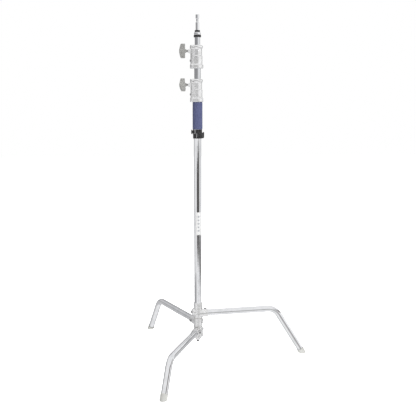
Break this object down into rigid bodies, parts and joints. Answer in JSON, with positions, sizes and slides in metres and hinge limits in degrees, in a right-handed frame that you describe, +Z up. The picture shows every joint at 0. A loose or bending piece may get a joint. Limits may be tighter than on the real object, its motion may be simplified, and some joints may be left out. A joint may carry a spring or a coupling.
{
  "type": "c stand",
  "caption": "Bent-leg grip stand: nesting turning legs on stacked hubs, chrome column, two sliding risers locked by T-handles, and a stud on top.",
  "frame": {"origin": "middle of the footprint's bounding box, on the floor", "axes": "+Z up along the column, +X along the fixed top leg, T-handles to -X"},
  "size_m": [0.7784, 1.0196, 1.651],
  "materials": {
    "chrome": "bright polished chrome plate on steel tube",
    "cast_chrome": "chrome plate on a polished casting",
    "cast_handle": "tumbled grey casting, satin",
    "steel": "plain turned steel, light oil",
    "dark_steel": "black oxide on steel screws",
    "blue_grip": "blue vinyl grip, fine grain",
    "black_plastic": "black moulded plastic",
    "grey_plastic": "worn grey-beige plastic",
    "nylon": "off-white nylon",
    "bronze": "plain bronze",
    "label": "plain white film"
  },
  "bodies": {
    "base": {"base_post": "steel", "top_leg_hub": "cast_chrome", "top_leg_tube": "chrome", "top_leg_foot": "grey_plastic", "top_leg_screw": "dark_steel", "column_clamp_bolt": "dark_steel", "upper_washer": "nylon", "lower_washer": "nylon", "leg_spring": "steel", "bottom_washer": "chrome", "bottom_nut": "cast_chrome", "end_plug": "black_plastic", "column_tube": "chrome", "column_label": "label", "grip_sleeve": "blue_grip", "column_collar": "cast_chrome", "column_collar_bolt": "dark_steel"},
    "middle_leg": {"middle_leg_hub": "cast_chrome", "middle_leg_tube": "chrome", "middle_leg_foot": "grey_plastic", "middle_leg_screw": "dark_steel", "lever_pin": "steel"},
    "release_lever": {"release_lever": "black_plastic"},
    "low_leg": {"low_leg_hub": "cast_chrome", "low_leg_tube": "chrome", "low_leg_foot": "grey_plastic", "low_leg_screw": "dark_steel"},
    "release_button": {"release_button": "black_plastic"},
    "column_brake_shoe": {"column_brake_shoe": "bronze"},
    "column_knob": {"column_lock_screw": "dark_steel", "column_t_handle": "cast_handle"},
    "riser_1_bush": {"riser_1_bush": "nylon"},
    "riser_1": {"riser_1_tube": "chrome", "riser_1_collar": "cast_chrome", "riser_1_collar_bolt": "dark_steel"},
    "riser_1_brake_shoe": {"riser_1_brake_shoe": "bronze"},
    "riser_1_knob": {"riser_1_lock_screw": "dark_steel", "riser_1_t_handle": "cast_handle"},
    "riser_2_bush": {"riser_2_bush": "nylon"},
    "riser_2": {"riser_2_tube": "chrome", "stud_collar": "chrome", "stud_ring": "black_plastic", "bumper_ring": "black_plastic", "baby_stud": "chrome", "stud_pin": "steel"},
    "clip": {"clip_collar": "black_plastic", "clip_knob": "black_plastic", "clip_hook": "black_plastic"}
  },
  "joints": [
    {"name": "middle_leg_swing", "type": "hinge", "parent": "base", "child": "middle_leg", "pos_m": [-0.16337, 0, 0.183], "axis": [0, 0, 1], "range_deg": [-107, 7]},
    {"name": "release_lever_pivot", "type": "hinge", "parent": "middle_leg", "child": "release_lever", "pos_m": [-0.14282, -0.00915, 0.195], "axis": [0.4067, 0.9135, 0], "range_deg": [0, 8], "stiffness_Nm_per_rad": 0.5, "springref_deg": -8.59},
    {"name": "low_leg_swing", "type": "hinge", "parent": "base", "child": "low_leg", "pos_m": [-0.16337, 0, 0.139], "axis": [0, 0, 1], "range_deg": [-7, 107]},
    {"name": "release_button_slide", "type": "slide", "parent": "low_leg", "child": "release_button", "axis": [0.9397, -0.342, 0], "range_m": [-0.002, 0], "stiffness_N_per_m": 1500, "springref_m": 0.001},
    {"name": "column_shoe_slide", "type": "slide", "parent": "base", "child": "column_brake_shoe", "axis": [-1, 0, 0], "range_m": [0, 0.0015]},
    {"name": "column_knob_turn", "type": "hinge", "parent": "column_brake_shoe", "child": "column_knob", "pos_m": [-0.16337, 0, 1.33], "axis": [-1, 0, 0], "range_deg": [0, 270]},
    {"name": "riser_1_slide", "type": "slide", "parent": "base", "child": "riser_1_bush", "axis": [0, 0, 1], "range_m": [-0.045, 0.8]},
    {"name": "riser_1_turn", "type": "hinge", "parent": "riser_1_bush", "child": "riser_1", "pos_m": [-0.16337, 0, 1], "axis": [0, 0, 1], "continuous": true},
    {"name": "riser_1_shoe_slide", "type": "slide", "parent": "riser_1", "child": "riser_1_brake_shoe", "axis": [-1, 0, 0], "range_m": [0, 0.0015]},
    {"name": "riser_1_knob_turn", "type": "hinge", "parent": "riser_1_brake_shoe", "child": "riser_1_knob", "pos_m": [-0.16337, 0, 1.485], "axis": [-1, 0, 0], "range_deg": [0, 270]},
    {"name": "riser_2_slide", "type": "slide", "parent": "riser_1", "child": "riser_2_bush", "axis": [0, 0, 1], "range_m": [-0.033, 0.85]},
    {"name": "riser_2_turn", "type": "hinge", "parent": "riser_2_bush", "child": "riser_2", "pos_m": [-0.16337, 0, 1.2], "axis": [0, 0, 1], "continuous": true},
    {"name": "clip_slide", "type": "slide", "parent": "base", "child": "clip", "axis": [0, 0, 1], "range_m": [-0.3, 0]}
  ],
  "couplings": [
    {"joint": "column_shoe_slide", "follows": "column_knob_turn", "m_per_rad": 0.0003183},
    {"joint": "riser_1_shoe_slide", "follows": "riser_1_knob_turn", "m_per_rad": 0.0003183}
  ]
}
